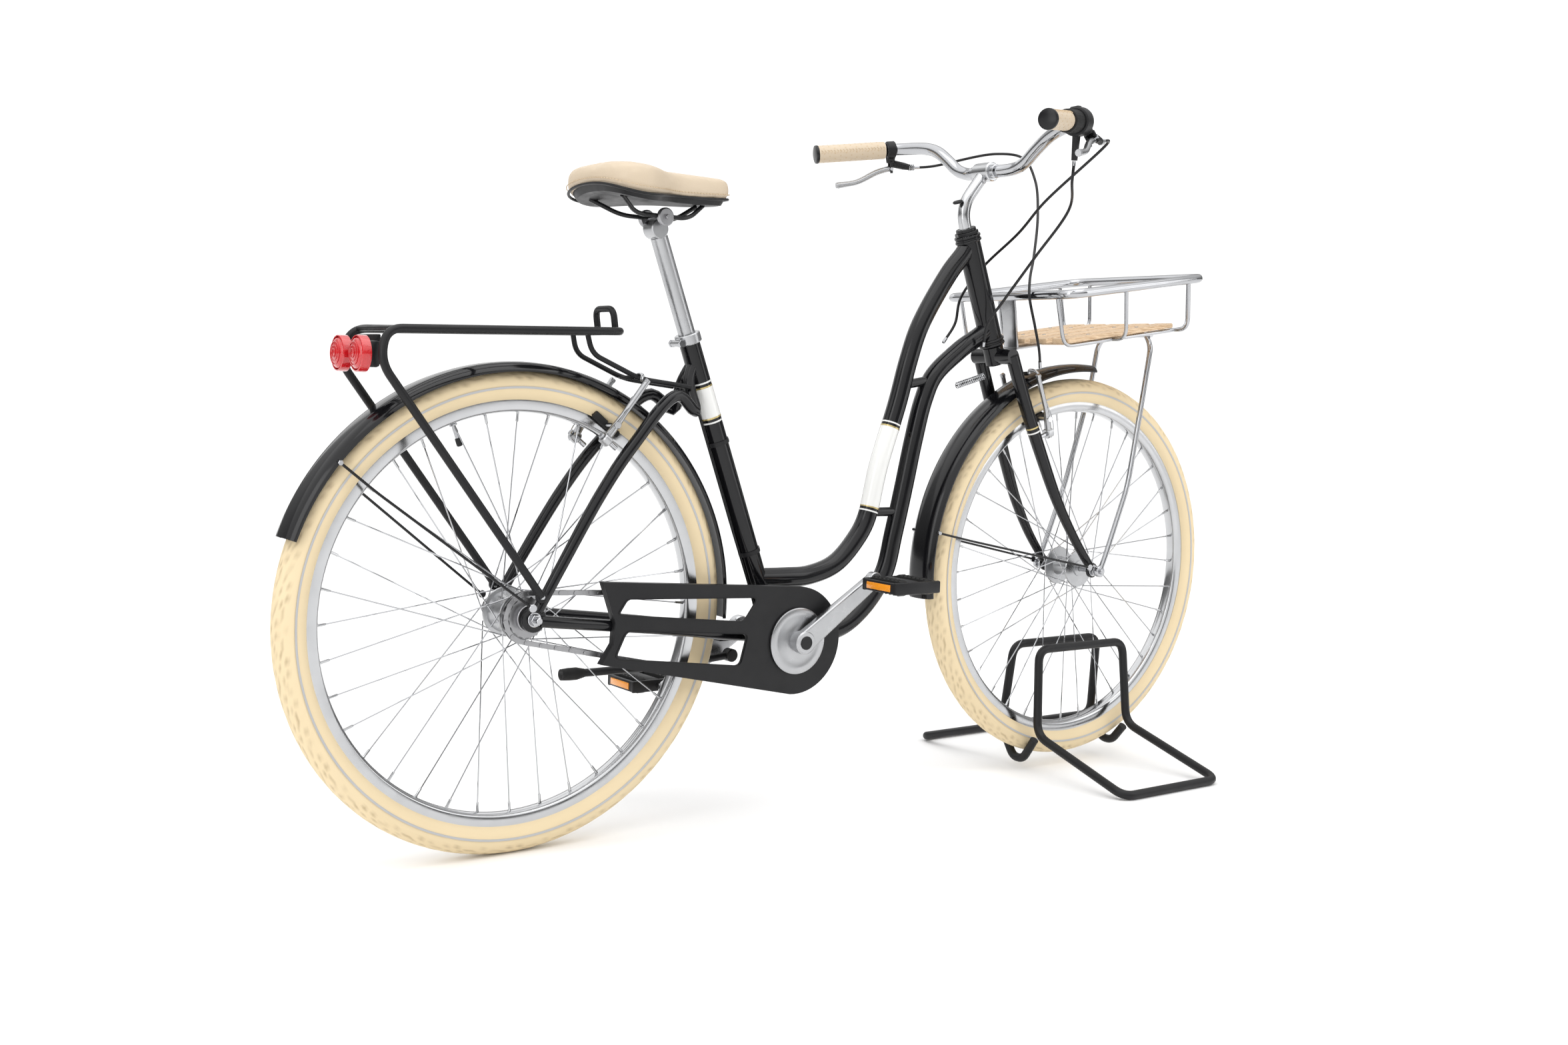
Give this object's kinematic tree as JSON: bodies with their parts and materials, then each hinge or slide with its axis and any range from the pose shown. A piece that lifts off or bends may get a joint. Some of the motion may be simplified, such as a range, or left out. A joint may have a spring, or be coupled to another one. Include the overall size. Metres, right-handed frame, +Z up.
{
  "type": "bicycle on stand",
  "caption": "Step-through city bicycle with front basket, rear rack and chain case, its front wheel held upright in a tubular floor stand.",
  "frame": {"origin": "middle of the footprint, on the floor", "axes": "+X forward along the bicycle, +Y to the rider's left, +Z up"},
  "size_m": [1.892, 0.628, 1.1806],
  "materials": {
    "black_paint": "gloss black enamel",
    "black_powder": "satin black powder coat",
    "bright_steel": "polished and plated steel",
    "satin_alloy": "satin and polished alloy",
    "cream_tyre": "matt cream rubber with a fine tread",
    "beige_leather": "stitched beige imitation leather",
    "beech_wood": "clear-varnished pale wood",
    "black_plastic": "black moulded plastic",
    "black_rubber": "black rubber and cable housing",
    "red_lens": "clear red lens plastic over a black body"
  },
  "bodies": {
    "stand": {"stand_loop_left": "black_powder", "stand_loop_right": "black_powder", "stand_cradle_rear": "black_powder", "stand_cradle_front": "black_powder"},
    "fork": {"fork": "black_paint", "front_axle": "bright_steel", "handlebar": "bright_steel", "stem": "satin_alloy", "grip_left": "beige_leather", "grip_right": "beige_leather", "shifter_housing": "black_plastic", "lever_bracket_left": "black_plastic", "lever_bracket_right": "black_plastic", "front_fender": "black_paint", "basket_frame": "bright_steel", "basket_floor": "beech_wood", "basket_stay": "bright_steel", "front_brake_cable": "black_rubber"},
    "front_wheel": {"front_hub": "satin_alloy", "front_spokes": "bright_steel", "front_rim": "satin_alloy", "front_tyre": "cream_tyre"},
    "twist_grip": {"twist_shifter": "black_rubber"},
    "left_brake_lever": {"brake_lever_left": "satin_alloy"},
    "right_brake_lever": {"brake_lever_right": "satin_alloy"},
    "front_left_brake": {"front_brake_arm_left": "satin_alloy"},
    "front_right_brake": {"front_brake_arm_right": "satin_alloy"},
    "frame": {"head_tube": "black_paint", "seat_tube": "black_paint", "top_tube": "black_paint", "down_tube": "black_paint", "seatstays": "black_paint", "chainstay_left": "black_paint", "chainstay_right": "black_paint", "rear_axle": "bright_steel", "seat_clamp": "satin_alloy", "rear_fender": "black_paint", "rear_rack": "black_powder", "tail_light": "red_lens", "chain": "satin_alloy", "chain_case": "black_plastic", "shift_cable": "black_rubber", "rear_brake_cable": "black_rubber", "steering_spring": "bright_steel"},
    "rear_left_brake": {"rear_brake_arm_left": "satin_alloy"},
    "rear_right_brake": {"rear_brake_arm_right": "satin_alloy"},
    "seat": {"seat_post": "satin_alloy", "saddle_cover": "beige_leather", "saddle_base": "black_plastic", "saddle_rails": "black_plastic"},
    "rear_wheel": {"rear_hub": "satin_alloy", "rear_spokes": "bright_steel", "rear_rim": "satin_alloy", "rear_tyre": "cream_tyre"},
    "freewheel": {"rear_sprocket": "satin_alloy"},
    "cranks": {"crank_right": "satin_alloy", "crank_left": "satin_alloy"},
    "right_pedal": {"pedal_right": "black_plastic"},
    "left_pedal": {"pedal_left": "black_plastic"},
    "kickstand": {"kickstand_leg": "black_rubber"}
  },
  "joints": [
    {"name": "lift_out_of_stand", "type": "slide", "parent": "stand", "child": "fork", "axis": [0, 0, 1], "range_m": [0, 0.25]},
    {"name": "front_wheel_spin", "type": "hinge", "parent": "fork", "child": "front_wheel", "pos_m": [0.5875, 0, 0.3805], "axis": [0, 1, 0], "continuous": true},
    {"name": "gear_twist", "type": "hinge", "parent": "fork", "child": "twist_grip", "pos_m": [0.2644, -0.2562, 1.15123], "axis": [0.9087, 0.398, 0.126], "range_deg": [-40, 40]},
    {"name": "left_lever_pull", "type": "hinge", "parent": "fork", "child": "left_brake_lever", "pos_m": [0.31018, 0.24663, 1.12416], "axis": [0.3523, 0.893, 0.28], "range_deg": [0, 14], "stiffness_Nm_per_rad": 1.2, "springref_deg": -5.73},
    {"name": "right_lever_pull", "type": "hinge", "parent": "fork", "child": "right_brake_lever", "pos_m": [0.32818, -0.24665, 1.12936], "axis": [-0.2913, 0.8208, -0.4913], "range_deg": [0, 14], "stiffness_Nm_per_rad": 1.2, "springref_deg": -5.73},
    {"name": "front_left_brake_swing", "type": "hinge", "parent": "fork", "child": "front_left_brake", "pos_m": [0.47151, 0.042, 0.63747], "axis": [0.933, 0, 0.36], "range_deg": [0, 2]},
    {"name": "front_right_brake_swing", "type": "hinge", "parent": "fork", "child": "front_right_brake", "pos_m": [0.47151, -0.042, 0.63747], "axis": [-0.933, 0, -0.36], "range_deg": [0, 2]},
    {"name": "steering", "type": "hinge", "parent": "fork", "child": "frame", "pos_m": [0.35912, 0, 0.79347], "axis": [0.36, 0, -0.933], "range_deg": [-30, 30], "deforming": ["steering_spring", "shift_cable", "rear_brake_cable"]},
    {"name": "rear_left_brake_swing", "type": "hinge", "parent": "frame", "child": "rear_left_brake", "pos_m": [-0.4655, 0.047, 0.6185], "axis": [0.787, 0, -0.617], "range_deg": [0, 2]},
    {"name": "rear_right_brake_swing", "type": "hinge", "parent": "frame", "child": "rear_right_brake", "pos_m": [-0.4655, -0.047, 0.6185], "axis": [-0.787, 0, 0.617], "range_deg": [0, 2]},
    {"name": "seat_height", "type": "slide", "parent": "frame", "child": "seat", "axis": [-0.36, 0, 0.933], "range_m": [-0.035, 0.06]},
    {"name": "rear_wheel_spin", "type": "hinge", "parent": "frame", "child": "rear_wheel", "pos_m": [-0.5875, 0, 0.3585], "axis": [0, 1, 0], "continuous": true},
    {"name": "crank_spin", "type": "hinge", "parent": "frame", "child": "cranks", "pos_m": [-0.1155, 0, 0.2965], "axis": [0, 1, 0], "continuous": true},
    {"name": "sprocket_spin", "type": "hinge", "parent": "frame", "child": "freewheel", "pos_m": [-0.5875, 0, 0.3585], "axis": [0, 1, 0], "continuous": true},
    {"name": "right_pedal_spin", "type": "hinge", "parent": "cranks", "child": "right_pedal", "pos_m": [0.02544, -0.162, 0.39156], "axis": [0, 1, 0], "continuous": true},
    {"name": "left_pedal_spin", "type": "hinge", "parent": "cranks", "child": "left_pedal", "pos_m": [-0.25644, 0.162, 0.20144], "axis": [0, 1, 0], "continuous": true},
    {"name": "kickstand_swing", "type": "hinge", "parent": "frame", "child": "kickstand", "pos_m": [-0.1525, 0.062, 0.2545], "axis": [0, -1, 0], "range_deg": [0, 48]}
  ],
  "couplings": [
    {"joint": "sprocket_spin", "follows": "crank_spin", "ratio": 2.1111},
    {"joint": "front_left_brake_swing", "follows": "left_lever_pull", "ratio": 0.1428},
    {"joint": "front_right_brake_swing", "follows": "left_lever_pull", "ratio": 0.1428},
    {"joint": "rear_left_brake_swing", "follows": "right_lever_pull", "ratio": 0.1428},
    {"joint": "rear_right_brake_swing", "follows": "right_lever_pull", "ratio": 0.1428}
  ]
}
